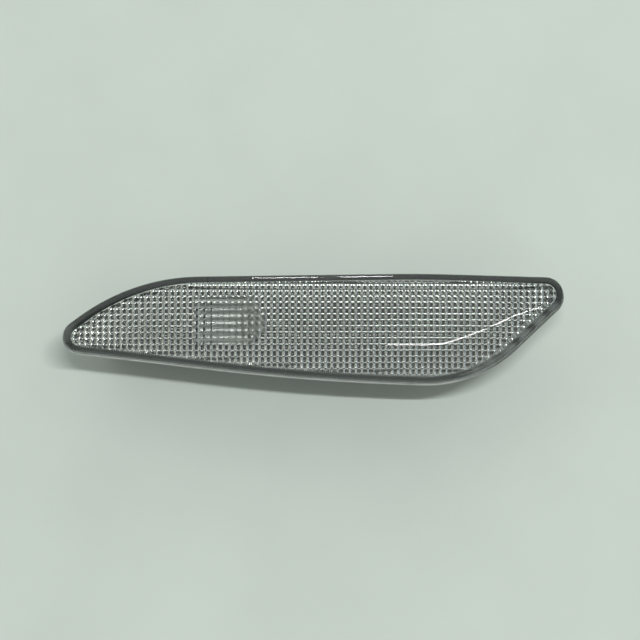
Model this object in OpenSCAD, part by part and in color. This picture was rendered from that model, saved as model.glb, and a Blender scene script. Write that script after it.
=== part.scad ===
// Side repeater lamp for the front wing of a car: a clear lens with pillow optics,
// welded to a dark housing that a foam gasket seals against the body panel.
// Millimetres. Z = 0 is the face of the panel, +Z points away from the car,
// and the origin is the middle of the seat, below the middle of the lens.

/* [Outline] */
// Left corner before rounding, along X
nose_x = -71.5; // [-75:0.5:-69]
// Left corner before rounding, along Y
nose_y = -4.8; // [-5.6:0.1:-4]
// Rounding of the left corner
nose_r = 4.1; // [3.4:0.1:4.8]
// Upper left corner before rounding, along X
brow_x = -47; // [-49:0.5:-46]
// Upper left corner before rounding, along Y
brow_y = 13.5; // [13.2:0.1:14.2]
// Rounding of the upper left corner
brow_r = 53; // [44:1:56]
// Bend in the upper edge, along X
crest_x = 28; // [20:1:36]
// Bend in the upper edge, along Y
crest_y = 14.5; // [14.2:0.1:15.5]
// Rounding of the bend in the upper edge
crest_r = 370; // [250:10:420]
// Right corner before rounding, along X
tail_x = 71.5; // [70:0.5:75]
// Right corner before rounding, along Y
tail_y = 13.2; // [12.8:0.1:13.8]
// Rounding of the right corner
tail_r = 4.7; // [4:0.1:5.4]
// Lower right corner before rounding, along X
heel_x = 42.3; // [40.5:0.1:44]
// Lower right corner before rounding, along Y
heel_y = -14.5; // [-15.5:0.1:-14.2]
// Rounding of the lower right corner
heel_r = 34; // [26:1:36]
// Bend in the lower edge, along X
belly_x = 0.5; // [-4:0.5:4]
// Bend in the lower edge, along Y
belly_y = -13.3; // [-14:0.1:-12.8]
// Rounding of the bend in the lower edge
belly_r = 600; // [400:10:640]

/* [Lens] */
// Height of the straight skirt, from its foot to the shoulder
skirt_h = 3; // [1.8:0.1:3.5]
// Radius of the rounded shoulder
shoulder_r = 2.2; // [1.6:0.1:2.6]
// Part of a right angle that the shoulder turns through
shoulder_sweep = 75; // [68:1:80]
// Radius that the outer face is crowned to, across the lens
crown_r = 49; // [42:1:80]
// Thickness of the lens at the edge of its crown
lens_wall = 1.7; // [1.6:0.1:2.4]
// Part of the crown's rise that the inner face follows
inner_follow = 0.5; // [0.3:0.05:1]
// Foot of the lens that stands proud of the skirt
foot_out = 0.3; // [0.2:0.05:0.5]
// Thickness of the foot
foot_h = 0.7; // [0.5:0.1:1]
// Width of the rim, left of the pillow field
rim_left = 2.3; // [2:0.1:2.8]
// Width of the rim, above the pillow field
rim_top = 1.9; // [1.7:0.1:2.3]
// Width of the rim, along the slanted right side
rim_right = 3.1; // [2.4:0.1:3.6]
// Width of the rim, below the pillow field
rim_bottom = 1.8; // [1.7:0.1:2.3]

/* [Pillow optics] */
// Distance from one pillow to the next, both ways
pillow_pitch = 1.55; // [1.5:0.05:2.2]
// How far each pillow stands out of the inner face
pillow_h = 0.5; // [0.15:0.05:0.6]
// Shift of the pillow rows along Y
row_shift = 0.4; // [0:0.1:0.7]

/* [Housing] */
// Thickness of the flange under the lens
flange_t = 1.5; // [1.2:0.1:2.2]
// Distance from the edge of the lens to the side of the tub
tub_inset = 3; // [3:0.1:3.3]
// Gap between the tongue and the neck, which sets how deep the tub is
neck_gap = 0.2; // [0.1:0.1:5]
// Wall and floor of the tub
tub_wall = 1.5; // [1.2:0.1:1.6]
// Left end of the tub, along X
tub_left = -34; // [-35:0.5:-31]
// Right end of the tub, along X
tub_right = 46; // [42:0.5:47]
// Where the right end of the tub starts to slant, along Y
tub_slant_y = -0.8; // [-2:0.1:0]
// Where the slant meets the lower side of the tub, along X
tub_toe = 34; // [30:0.5:36]
// Rounding of the upright corners of the tub
tub_corner = 2.4; // [2:0.1:3]
// Bevel around the back of the tub
back_bevel = 1; // [0.4:0.1:1.2]
// Width of the rib that centres the lens
rib_t = 0.8; // [0.6:0.1:1]
// Height of the rib that centres the lens
rib_h = 1; // [0.8:0.1:1.6]
// Gap between the rib and the lens
rib_gap = 0.15; // [0.1:0.05:0.25]
// Width of the crush ribs on the sides of the tub
crush_w = 1.2; // [0.8:0.1:2]
// How far the crush ribs stand out
crush_out = 0.5; // [0.4:0.1:0.9]
// Length of the crush ribs
crush_len = 12; // [6:0.5:14]
// Distance between the crush ribs
crush_pitch = 18; // [14:1:20]

/* [Tongue] */
// Thickness of the car panel that the tongue hooks behind
panel_t = 0.8; // [0.6:0.1:0.9]
// Length of the tongue from the end of the tub
tongue_len = 15; // [10:0.5:16]
// Width of the tongue
tongue_w = 8; // [5:0.5:9]
// Thickness of the tongue
tongue_t = 1.2; // [1:0.1:1.3]
// Width of the web between the tongue and the neck
web_w = 1.4; // [1:0.1:3]

/* [Gasket] */
// Thickness of the gasket when it is pressed
gasket_t = 1.5; // [1:0.1:3]
// Distance from the edge of the lens to the gasket
gasket_inset = 0.8; // [0.4:0.1:1.2]
// Width of the gasket band
gasket_w = 1.6; // [1.4:0.1:2.1]

/* [Reflector] */
// Wall of the reflector
mirror_wall = 0.8; // [0.6:0.1:0.9]
// Gap between the reflector and the housing
mirror_gap = 0.15; // [0.1:0.05:0.25]
// Thickness of the reflector's mirrored deck
deck_t = 0.6; // [0.5:0.1:1]
// Depth of the skirt that centres the reflector in the tub
mirror_skirt = 4; // [2:0.1:6]
// Hole that the bulb passes through
mirror_hole_d = 11.4; // [11:0.1:11.6]

/* [Bulb] */
// Diameter of the glass
bulb_d = 10.3; // [9:0.1:10.5]
// Length of the bulb from its wedge to its tip
bulb_len = 26.8; // [24:0.1:30]
// Diameter of the glass where it leaves the wedge
bulb_foot_d = 6.2; // [5:0.1:8]
// Length of the taper from there to the full diameter
bulb_taper = 2.6; // [1.5:0.1:4]
// Length of the wedge base
wedge_len = 8; // [7:0.1:9]
// Width of the wedge base
wedge_w = 9.4; // [8:0.1:9.6]
// Thickness of the wedge base
wedge_t = 2.1; // [1.8:0.1:2.3]
// Diameter of the lead wires
wire_d = 0.5; // [0.4:0.05:0.6]
// Sideways place of the lead wires on the wedge
wire_y = 2.4; // [1.6:0.1:3]
// Length of each wire's run along the wedge
wire_run = 5; // [3:0.1:6]

/* [Bulb holder] */
// Bore of the neck that the holder plugs into
neck_bore = 12; // [11.8:0.1:12.2]
// Wall of the neck
neck_wall = 1.2; // [1:0.1:1.3]
// Length of the neck
neck_len = 10; // [9:0.5:11]
// Height of the neck above the back of the tub
neck_lift = 1.3; // [0.8:0.1:1.5]
// Gap around the holder in the neck
plug_gap = 0.1; // [0.05:0.01:0.15]
// How far the holder's flange stays inside the outside of the neck
stop_in = 0.1; // [0:0.05:0.4]
// Thickness of the flange that stops the holder
stop_t = 1.5; // [1.2:0.1:2]
// Length of the connector shroud
shroud_len = 9; // [8:0.5:10]
// Width of the connector shroud
shroud_w = 8; // [7.4:0.1:8.4]
// Height of the connector shroud
shroud_h = 13; // [12.4:0.1:13.4]
// Wall of the connector shroud
shroud_wall = 1; // [0.8:0.1:1.1]
// Rounding of the connector shroud
shroud_r = 1.5; // [1.2:0.1:2]
// Height of the slot for the wedge and its contacts
slot_h = 4.9; // [4.8:0.1:5.1]
// Space between the side of the wedge and its slot
slot_gap = 0.15; // [0.1:0.05:0.25]
// Length of the snap windows in the neck
window_len = 2.2; // [1.8:0.1:2.8]
// Width of the snap windows in the neck
window_w = 3.4; // [2.6:0.1:4]
// Width of the catch that the plug's latch hooks over
latch_w = 3; // [2:0.1:4]
// Length of the ramp on that catch
latch_len = 2.4; // [1.6:0.1:3]
// How far that catch stands out of the shroud
latch_out = 0.9; // [0.6:0.1:1.2]
// Distance from the mouth of the shroud to that catch
latch_edge = 1.5; // [1:0.1:2.5]
// How far the snap noses stand out of the holder
nose_out = 0.7; // [0.5:0.1:0.9]
// Distance from the end of the neck to its snap windows
window_edge = 1.2; // [1:0.1:1.8]
// Thickness of the holder's seal when it is pressed
seal_t = 1.2; // [0.8:0.1:1.6]

/* [Terminals] */
// Thickness of the contact springs
spring_t = 0.4; // [0.3:0.05:0.45]
// Width of the contact springs
spring_w = 6; // [5:0.1:7]
// Length of the flared mouth of the contact springs
spring_lead = 1; // [0.6:0.1:1.6]
// Thickness of the connector tabs
tab_t = 0.8; // [0.6:0.1:1]
// Width of the connector tabs
tab_w = 2.8; // [2.4:0.1:3.4]
// Distance between the middles of the two tabs
tab_pitch = 6; // [5.8:0.1:6.4]
// Length of each tab in the shroud
tab_len = 6; // [5:0.1:6.6]

/* [Spring clip] */
// Thickness of the clip's strip
clip_t = 0.5; // [0.4:0.05:0.6]
// Width of the clip's strip
clip_w = 6; // [5:0.1:6.4]
// Middle of the clip, along Y
clip_y = 5; // [4.6:0.1:5.2]
// Top of the clip's fixed leg behind the panel
clip_top = 2; // [1.8:0.1:3]
// Height of the clip's bend above the back of the tub
clip_lift = 1.2; // [0.8:0.1:2]
// Distance between the legs of the clip at the bend
clip_gap = 2.8; // [2.6:0.1:3.4]
// How far the clip's knee stands out from its bend
clip_reach = 3.2; // [2.4:0.1:4]
// Depth of the clip's knee behind the panel
knee_depth = 3.8; // [3.4:0.1:4.4]
// Thickness of the rails that hold the clip
rail_t = 0.9; // [0.7:0.1:1.1]
// Width of the rail's lip over the clip's edge
rail_lip = 0.8; // [0.6:0.1:1.2]
// Width of the catch that stops the clip
catch_w = 2.4; // [2:0.1:3]
// Height of the catch that stops the clip
catch_h = 2; // [1.6:0.1:2.6]

/* [Hidden] */

// How far a chord may stray from its curve
curve_tol = 0.02;
// Least rounding that an inset outline keeps
least_r = 0.4;
// Part of a side that two roundings may fill
round_share = 0.98;
// Extra length that a cut runs past a face
over = 0.5;
// Facets around whole bores and shafts
bore_facets = 48;
// Stations along the lens, and strips across its crown
stations = 60;
strips = 10;
// Steps in the lens's shoulder
shoulder_steps = 5;

CORNERS = [[nose_x, nose_y], [brow_x, brow_y], [crest_x, crest_y],
           [tail_x, tail_y], [heel_x, heel_y], [belly_x, belly_y]];
RADII = [nose_r, brow_r, crest_r, tail_r, heel_r, belly_r];
RIM = [rim_left, rim_top, rim_top, rim_right, rim_bottom, rim_bottom];

function unit(v) = v / norm(v);
function turned(v, angle) = [v[0] * cos(angle) - v[1] * sin(angle), v[0] * sin(angle) + v[1] * cos(angle)];
function spread(a, b, share) = a + (b - a) * share;
function even(distance) = [for (corner = CORNERS) distance];

// Corners of a clockwise polygon once side i has moved in by shift[i]
function moved_in(corners, shift) = let (n = len(corners)) [
    for (i = [0:n - 1]) let (
        before = unit(corners[i] - corners[(i + n - 1) % n]),
        after = unit(corners[(i + 1) % n] - corners[i]),
        turn = cross(before, after)
    ) corners[i] + (before * shift[i] - after * shift[(i + n - 1) % n]) / turn];

// Points of one rounded corner, in the order of travel
function corner_arc(before, corner, after, r) = let (
    back = unit(before - corner),
    ahead = unit(after - corner),
    half = acos(back * ahead) / 2,
    centre = corner + unit(back + ahead) * r / sin(half),
    start = corner + back * r / tan(half) - centre,
    turn = (2 * half - 180) * sign(cross(back, ahead)),
    steps = ceil(abs(turn) / (2 * acos(1 - curve_tol / r)))
) [for (k = [0:steps]) centre + turned(start, turn * k / steps)];

// Radii, cut back where the roundings at the two ends of a side would meet
function safe_radii(corners, radii) = let (
    n = len(corners),
    reach = [for (i = [0:n - 1]) let (
        back = unit(corners[(i + n - 1) % n] - corners[i]),
        ahead = unit(corners[(i + 1) % n] - corners[i])
    ) radii[i] / tan(acos(back * ahead) / 2)],
    room = [for (i = [0:n - 1]) let (j = (i + 1) % n)
        round_share * norm(corners[j] - corners[i]) / (reach[i] + reach[j])]
) [for (i = [0:n - 1]) radii[i] * min(1, room[i], room[(i + n - 1) % n])];

// A closed polygon with rounded corners
function rounded(corners, radii) = let (n = len(corners), r = safe_radii(corners, radii)) [
    for (i = [0:n - 1]) each corner_arc(corners[(i + n - 1) % n], corners[i], corners[(i + 1) % n], r[i])];

// The lamp's outline with each side moved in by its own distance
function outline(shift) = let (n = len(CORNERS)) rounded(moved_in(CORNERS, shift), [
    for (i = [0:n - 1]) max(RADII[i] - (shift[i] + shift[(i + n - 1) % n]) / 2, least_r)]);

// The upper or lower half of a clockwise outline, from left to right
function chain(points, upper) = let (
    n = len(points),
    xs = [for (p = points) p[0]],
    left = search(min(xs), xs)[0],
    right = search(max(xs), xs)[0],
    rise = (right - left + n) % n
) upper ? [for (k = [0:rise]) points[(left + k) % n]]
        : [for (k = [0:n - rise]) points[(left - k + n) % n]];

// A strip of even thickness along an open path with rounded bends
function strip(path, r, thickness) = let (
    last = len(path) - 1,
    bends = [for (i = [1:last - 1]) each corner_arc(path[i - 1], path[i], path[i + 1], r)],
    line = [path[0], each bends, path[last]],
    end = len(line) - 1,
    side = [for (i = [0:end]) turned(unit(line[min(i + 1, end)] - line[max(i - 1, 0)]), 90) * thickness / 2]
) concat([for (i = [0:end]) line[i] + side[i]], [for (i = [end:-1:0]) line[i] - side[i]]);

// Heights
flange_z = gasket_t;
lens_z = flange_z + flange_t;
skirt_z = lens_z + skirt_h;
crown_z = skirt_z + shoulder_r * sin(shoulder_sweep);
crown_inset = shoulder_r * (1 - cos(shoulder_sweep));
neck_r = neck_bore / 2 + neck_wall;
tongue_z = -panel_t - plug_gap;
tub_depth = tongue_t + neck_gap + 2 * neck_r + neck_lift - tongue_z;
back_z = -tub_depth;
floor_z = back_z + tub_wall;

// The crown stands on the top of the shoulder
CROWN_EDGE = outline(even(crown_inset));
CROWN_UPPER = chain(CROWN_EDGE, true);
CROWN_LOWER = chain(CROWN_EDGE, false);
function crown(x, y) = crown_z
    + max((lookup(x, CROWN_UPPER) - y) * (y - lookup(x, CROWN_LOWER)) / (2 * crown_r), -shoulder_r);

// Plan of the tub, clockwise from its upper left corner
TUB_EDGE = outline(even(tub_inset));
TUB_UPPER = chain(TUB_EDGE, true);
TUB_LOWER = chain(TUB_EDGE, false);
TUB = [[tub_left, lookup(tub_left, TUB_UPPER)], [crest_x, lookup(crest_x, TUB_UPPER)],
       [tub_right, lookup(tub_right, TUB_UPPER)], [tub_right, tub_slant_y],
       [tub_toe, lookup(tub_toe, TUB_LOWER)], [belly_x, lookup(belly_x, TUB_LOWER)],
       [tub_left, lookup(tub_left, TUB_LOWER)]];
function tub_plan(inset) = rounded(moved_in(TUB, [for (corner = TUB) inset]), [
    for (corner = TUB) max(tub_corner - inset, least_r)]);

// Axis of the bulb, its holder and the neck
axis_y = (TUB[0][1] + TUB[6][1]) / 2;
axis_z = back_z + neck_lift + neck_r;
neck_end = tub_left - neck_len;
plug_r = neck_bore / 2 - plug_gap;
holder_face = tub_left + tub_wall;
wedge_end = holder_face - wedge_len + slot_gap;
slot_end = wedge_end - wire_d - tab_t;
bulb_r = bulb_d / 2;
bulb_tip = wedge_end + bulb_len;
stop_x = neck_end - seal_t - stop_t;
stop_r = neck_r - stop_in;
shroud_floor = stop_x - shroud_wall;
shroud_end = stop_x - shroud_len;
window_x = neck_end + window_edge + window_len / 2;

// Turns a shape that is drawn around +Z onto the bulb's axis, pointing to the right from x
module on_axis(x) translate([x, axis_y, axis_z]) rotate([0, 90, 0]) children();

// A box between two corners
module box(low, high) translate(low) cube(high - low);

// A box on the bulb's axis, with its width along Y and its height along Z
module axis_box(x_low, x_high, width, height, z_shift = 0)
    box([x_low, axis_y - width / 2, axis_z + z_shift - height / 2],
        [x_high, axis_y + width / 2, axis_z + z_shift + height / 2]);

// Two closed outlines with a space between them
module ring(outer, inner, z, height)
    translate([0, 0, z])
        difference() {
            linear_extrude(height) polygon(outer);
            translate([0, 0, -over]) linear_extrude(height + 2 * over) polygon(inner);
        }

// Stations across an outline, close together near its ends
function loop_at(points) = let (
    upper = chain(points, true),
    lower = chain(points, false),
    left = upper[0][0],
    right = upper[len(upper) - 1][0],
    xs = [for (k = [0:stations]) spread(left, right, (1 - cos(180 * k / stations)) / 2)]
) concat([for (k = [0:stations]) [xs[k], lookup(xs[k], upper)]],
         [for (k = [stations - 1:-1:1]) [xs[k], lookup(xs[k], lower)]]);

// The lens as a solid block: foot, skirt, rounded shoulder and crowned face
module lens_block() {
    turns = [for (j = [0:shoulder_steps]) shoulder_sweep * j / shoulder_steps];
    levels = concat(
        [[-foot_out, lens_z], [-foot_out, lens_z + foot_h], [0, lens_z + foot_h]],
        [for (turn = turns) [shoulder_r * (1 - cos(turn)), skirt_z + shoulder_r * sin(turn)]]);
    loops = [for (level = levels) [for (p = loop_at(outline(even(level[0])))) [p[0], p[1], level[1]]]];
    round = 2 * stations;
    top = len(levels) - 1;
    edge = loops[top];
    inner = [
        for (k = [1:stations - 1]) for (j = [1:strips - 1])
            let (x = edge[k][0], y = spread(edge[round - k][1], edge[k][1], j / strips))
            [x, y, crown(x, y)]];
    function at(level, k) = level * round + (k + round) % round;
    function across(k, j) = j == 0 || k == 0 || k == stations ? at(top, -k)
        : j == strips ? at(top, k)
        : (top + 1) * round + (k - 1) * (strips - 1) + j - 1;
    polyhedron(
        points = concat([for (loop = loops) each loop], inner),
        faces = concat(
            [[for (k = [round - 1:-1:0]) at(0, k)]],
            [for (level = [0:top - 1]) for (k = [0:round - 1]) each [
                [at(level, k), at(level, k + 1), at(level + 1, k + 1)],
                [at(level, k), at(level + 1, k + 1), at(level + 1, k)]]],
            [for (k = [0:stations - 1]) for (j = [0:strips - 1]) each [
                if (k > 0) [across(k, j), across(k, j + 1), across(k + 1, j + 1)],
                if (k < stations - 1) [across(k, j), across(k + 1, j + 1), across(k + 1, j)]]]));
}

// The space under the pillow field: each pillow hangs into it as a small dome
module pillow_space() {
    field = outline(RIM);
    xs = [for (p = field) p[0]];
    ys = [for (p = field) p[1]];
    first_x = floor(min(xs) / pillow_pitch);
    first_y = floor((min(ys) - row_shift) / pillow_pitch);
    columns = ceil(max(xs) / pillow_pitch) - first_x;
    rows = ceil((max(ys) - row_shift) / pillow_pitch) - first_y;
    function place(i, j) = [(first_x + i) * pillow_pitch, (first_y + j) * pillow_pitch + row_shift];
    function on_face(p, drop) =
        [p[0], p[1], spread(crown_z, crown(p[0], p[1]), inner_follow) - lens_wall - drop];
    function valley(i, j) = i * (rows + 1) + j;
    function peak(i, j) = (columns + 1) * (rows + 1) + i * rows + j;
    base = (columns + 1) * (rows + 1) + columns * rows;
    under = lens_z - over;
    intersection() {
        translate([0, 0, under]) linear_extrude(crown_z) polygon(field);
        polyhedron(
            points = concat(
                [for (i = [0:columns]) for (j = [0:rows]) on_face(place(i, j), 0)],
                [for (i = [0:columns - 1]) for (j = [0:rows - 1])
                    on_face(place(i + 0.5, j + 0.5), pillow_h)],
                [for (p = [place(0, 0), place(columns, 0), place(columns, rows), place(0, rows)])
                    [p[0], p[1], under - over]]),
            faces = concat(
                [for (i = [0:columns - 1]) for (j = [0:rows - 1]) each [
                    [valley(i, j), valley(i, j + 1), peak(i, j)],
                    [valley(i, j + 1), valley(i + 1, j + 1), peak(i, j)],
                    [valley(i + 1, j + 1), valley(i + 1, j), peak(i, j)],
                    [valley(i + 1, j), valley(i, j), peak(i, j)]]],
                [[base, base + 1, base + 2, base + 3]],
                [[base, base + 3, for (j = [rows:-1:0]) valley(0, j)]],
                [[base + 2, base + 1, for (j = [0:rows]) valley(columns, j)]],
                [[base + 1, base, for (i = [0:columns]) valley(i, 0)]],
                [[base + 3, base + 2, for (i = [columns:-1:0]) valley(i, rows)]]));
    }
}

module lens()
    color("gainsboro", 0.6)
        difference() {
            lens_block();
            pillow_space();
        }

// The guides on the tub's end that the clip's fixed leg slides into
module clip_rails() {
    slide = clip_w / 2 + mirror_gap;
    depth = clip_t + 2 * mirror_gap;
    rails_top = -clip_top - clip_t;
    rails_foot = back_z + clip_lift + clip_gap + clip_t;
    difference() {
        box([tub_right - over, clip_y - slide - rail_t, rails_foot],
            [tub_right + depth + rail_t, clip_y + slide + rail_t, rails_top]);
        box([tub_right - 2 * over, clip_y - slide, rails_foot - over],
            [tub_right + depth, clip_y + slide, rails_top + over]);
        box([tub_right - 2 * over, clip_y - slide + rail_lip, rails_foot - over],
            [tub_right + depth + rail_t + over, clip_y + slide - rail_lip, rails_top + over]);
    }
    box([tub_right - over, clip_y - catch_w / 2, spread(rails_foot, rails_top, 0.5) - catch_h / 2],
        [tub_right + depth, clip_y + catch_w / 2, spread(rails_foot, rails_top, 0.5) + catch_h / 2]);
}

// Short ribs that centre the tub in the hole of the panel
module crush_ribs() {
    top = -plug_gap;
    foot = top - crush_len;
    for (x = [tub_left + crush_pitch : crush_pitch : tub_toe - crush_w]) {
        box([x - crush_w / 2, lookup(x, TUB_UPPER) - tub_wall / 2, foot],
            [x + crush_w / 2, lookup(x, TUB_UPPER) + crush_out, top]);
        box([x - crush_w / 2, lookup(x, TUB_LOWER) - crush_out, foot],
            [x + crush_w / 2, lookup(x, TUB_LOWER) + tub_wall / 2, top]);
    }
}

// Tongue that hooks behind the panel, and its web on the neck
module tongue() {
    tip = tub_left - tongue_len + tongue_w / 2;
    translate([tip, axis_y, tongue_z - tongue_t])
        cylinder(h = tongue_t, d = tongue_w, $fn = bore_facets);
    box([tip, axis_y - tongue_w / 2, tongue_z - tongue_t],
        [tub_left + over, axis_y + tongue_w / 2, tongue_z]);
    box([neck_end, axis_y - web_w / 2, axis_z + neck_bore / 2 + neck_wall / 2],
        [tub_left + over, axis_y + web_w / 2, tongue_z - tongue_t / 2]);
}

// Cuts a bevel along each side of the tub's back
module back_bevels()
    for (i = [0:len(TUB) - 1]) {
        ahead = TUB[(i + 1) % len(TUB)] - TUB[i];
        side = norm(ahead);
        translate([TUB[i][0], TUB[i][1], back_z])
            rotate([0, 0, atan2(ahead[1], ahead[0])])
                translate([-over, -back_bevel, 0]) rotate([45, 0, 0])
                    translate([0, -over, -2 * back_bevel])
                        cube([side + 2 * over, 1.5 * back_bevel + over, 2 * back_bevel]);
    }

module housing()
    color("dimgray")
        difference() {
            union() {
                translate([0, 0, flange_z]) linear_extrude(flange_t) polygon(outline(even(0)));
                ring(outline(RIM + even(rib_gap)), outline(RIM + even(rib_gap + rib_t)), lens_z, rib_h);
                translate([0, 0, back_z]) linear_extrude(tub_depth + lens_z) polygon(tub_plan(0));
                on_axis(neck_end) cylinder(h = neck_len + over, r = neck_r, $fn = bore_facets);
                tongue();
                clip_rails();
                crush_ribs();
            }
            translate([0, 0, floor_z]) linear_extrude(tub_depth + lens_z) polygon(tub_plan(tub_wall));
            on_axis(neck_end - over)
                cylinder(h = neck_len + tub_wall + 2 * over, d = neck_bore, $fn = bore_facets);
            axis_box(window_x - window_len / 2, window_x + window_len / 2, window_w, 2 * neck_r + over);
            back_bevels();
        }

// A mirrored deck under the lens, a skirt that centres it in the tub, and a well for the bulb
module reflector() {
    top = lens_z + deck_t;
    outside = tub_wall + mirror_gap;
    inside = outside + mirror_wall;
    well_r = axis_z - floor_z - mirror_gap;
    color("silver")
        difference() {
            union() {
                translate([0, 0, lens_z]) linear_extrude(deck_t)
                    polygon(outline(RIM + even(2 * rib_gap + rib_t)));
                ring(tub_plan(outside), tub_plan(inside), lens_z - mirror_skirt, mirror_skirt + deck_t / 2);
                bulb_well(outside, well_r, top);
            }
            bulb_well(inside, well_r - mirror_wall, top + over);
            on_axis(tub_left) cylinder(h = inside + over, d = mirror_hole_d, $fn = bore_facets);
        }
}

// A round-bottomed well around the bulb, open at the top and kept within the tub
module bulb_well(inset, r, top) {
    end = bulb_tip - bulb_r;
    intersection() {
        translate([0, 0, back_z]) linear_extrude(top - back_z) polygon(tub_plan(inset));
        union() {
            on_axis(tub_left) cylinder(h = end - tub_left, r = r, $fn = bore_facets);
            translate([end, axis_y, axis_z]) {
                sphere(r = r, $fn = bore_facets);
                cylinder(h = top - axis_z, r = r, $fn = bore_facets);
            }
            box([tub_left, axis_y - r, axis_z], [end, axis_y + r, top]);
        }
    }
}

module gasket()
    color("black")
        ring(outline(even(gasket_inset)), outline(even(gasket_inset + gasket_w)), 0, gasket_t);

module bulb() {
    neck = wedge_end + wedge_len;
    color("whitesmoke") {
        on_axis(neck)
            rotate_extrude($fn = bore_facets)
                intersection() {
                    square([bulb_r, bulb_tip - neck]);
                    union() {
                        polygon([[0, 0], [bulb_foot_d / 2, 0], [bulb_r, bulb_taper],
                                 [bulb_r, bulb_tip - neck - bulb_r], [0, bulb_tip - neck - bulb_r]]);
                        translate([0, bulb_tip - neck - bulb_r]) circle(r = bulb_r, $fn = bore_facets);
                    }
                }
        axis_box(wedge_end, neck + over, wedge_w, wedge_t);
    }
}

// A lead wire that comes out of the end of the wedge and folds back along its face
module bulb_wire(side) {
    face = wedge_t / 2 + wire_d / 2;
    color("goldenrod")
        translate([wedge_end - wire_d / 2, axis_y + side * wire_y, axis_z]) {
            translate([0, 0, side * face]) rotate([0, 90, 0])
                cylinder(h = wire_run, d = wire_d, $fn = 16);
            translate([0, 0, side * face]) sphere(d = wire_d, $fn = 16);
            translate([0, 0, side > 0 ? 0 : -face]) cylinder(h = face, d = wire_d, $fn = 16);
        }
}

// One contact: a spring that presses on the wedge's wire, a step, and a tab for the plug
module terminal(side) {
    press = wedge_t / 2 + wire_d + spring_t / 2;
    mouth = holder_face - over;
    step_x = slot_end + spring_t;
    path = [[mouth, press + spring_t / 2], [mouth - spring_lead, press], [step_x, press],
            [step_x, tab_pitch / 2], [neck_end, tab_pitch / 2]];
    color("khaki")
        mirror([0, 0, side > 0 ? 0 : 1])
            translate([0, axis_y, side * axis_z]) {
                translate([0, spring_w / 2, 0]) rotate([90, 0, 0])
                    linear_extrude(spring_w) polygon(strip(path, spring_t, spring_t));
                translate([shroud_floor - tab_len, -tab_w / 2, tab_pitch / 2 - tab_t / 2])
                    cube([neck_end - shroud_floor + tab_len + over, tab_w, tab_t]);
            }
}

module holder_body() {
    color("darkslategray")
        difference() {
            union() {
                on_axis(stop_x) cylinder(h = holder_face - stop_x, r = plug_r, $fn = bore_facets);
                on_axis(stop_x) cylinder(h = stop_t, r = stop_r, $fn = bore_facets);
                translate([shroud_end, axis_y, axis_z]) rotate([0, 90, 0])
                    linear_extrude(shroud_len + over) round_rect(shroud_h, shroud_w, shroud_r);
                latch_catch();
                intersection() {
                    axis_box(window_x - window_len / 2 + plug_gap, window_x + window_len / 2 - plug_gap,
                             window_w - 2 * plug_gap, 2 * neck_r);
                    on_axis(neck_end)
                        cylinder(h = neck_len, r1 = plug_r + nose_out, r2 = plug_r, $fn = bore_facets);
                }
            }
            axis_box(slot_end, holder_face + over, wedge_w + 2 * slot_gap, slot_h);
            translate([shroud_end - over, axis_y, axis_z]) rotate([0, 90, 0])
                linear_extrude(shroud_len - shroud_wall + over)
                    round_rect(shroud_h - 2 * shroud_wall, shroud_w - 2 * shroud_wall,
                               shroud_r - shroud_wall);
            for (side = [-1, 1]) {
                axis_box(slot_end - over, slot_end + 2 * spring_t, spring_w + 2 * plug_gap, slot_h / 2,
                         side * (tab_pitch / 2 + spring_t / 2 + plug_gap - slot_h / 4));
                axis_box(stop_x, slot_end + over, spring_w + 2 * plug_gap, tab_t + 2 * plug_gap,
                         side * tab_pitch / 2);
                axis_box(shroud_floor - over, neck_end, tab_w + 2 * plug_gap, tab_t + 2 * plug_gap,
                         side * tab_pitch / 2);
            }
        }
}

// The catch on the shroud: a ramp that rises from the mouth to a square end
module latch_catch()
    translate([shroud_end + latch_edge, axis_y + latch_w / 2, axis_z - shroud_h / 2])
        rotate([90, 0, 0])
            linear_extrude(latch_w)
                polygon([[0, over], [0, 0], [latch_len, -latch_out], [latch_len, over]]);

// A rectangle with rounded corners around the origin
module round_rect(height, width, r)
    polygon(rounded([[-height / 2, -width / 2], [-height / 2, width / 2],
                     [height / 2, width / 2], [height / 2, -width / 2]], [r, r, r, r]));

module holder_seal()
    color("firebrick")
        on_axis(neck_end - seal_t)
            difference() {
                cylinder(h = seal_t, r = stop_r - plug_gap, $fn = bore_facets);
                translate([0, 0, -over]) cylinder(h = seal_t + 2 * over, r = plug_r, $fn = bore_facets);
            }

// A steel strip bent into a narrow U, with a knee that snaps behind the panel
module spring_clip() {
    wall_x = tub_right + mirror_gap + clip_t / 2;
    bend_z = back_z + clip_lift + clip_t / 2;
    path = [[wall_x, -clip_top], [wall_x, bend_z], [wall_x + clip_gap, bend_z],
            [wall_x + clip_gap + clip_reach, -knee_depth], [wall_x + clip_gap, -panel_t - clip_t / 2]];
    middle = spread(back_z + clip_lift + clip_gap + clip_t, -clip_top - clip_t, 0.5);
    color("lightsteelblue")
        difference() {
            translate([0, clip_y + clip_w / 2, 0]) rotate([90, 0, 0])
                linear_extrude(clip_w) polygon(strip(path, clip_gap / 2 - plug_gap, clip_t));
            box([tub_right, clip_y - catch_w / 2 - mirror_gap, middle - catch_h / 2 - mirror_gap],
                [tub_right + 2 * mirror_gap + clip_t, clip_y + catch_w / 2 + mirror_gap,
                 middle + catch_h / 2 + mirror_gap]);
        }
}

lens();
housing();
reflector();
gasket();
bulb();
bulb_wire(1);  // bulb_wire_a
bulb_wire(-1);  // bulb_wire_b
holder_body();
holder_seal();
terminal(1);  // terminal_a
terminal(-1);  // terminal_b
spring_clip();
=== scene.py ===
import math

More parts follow.
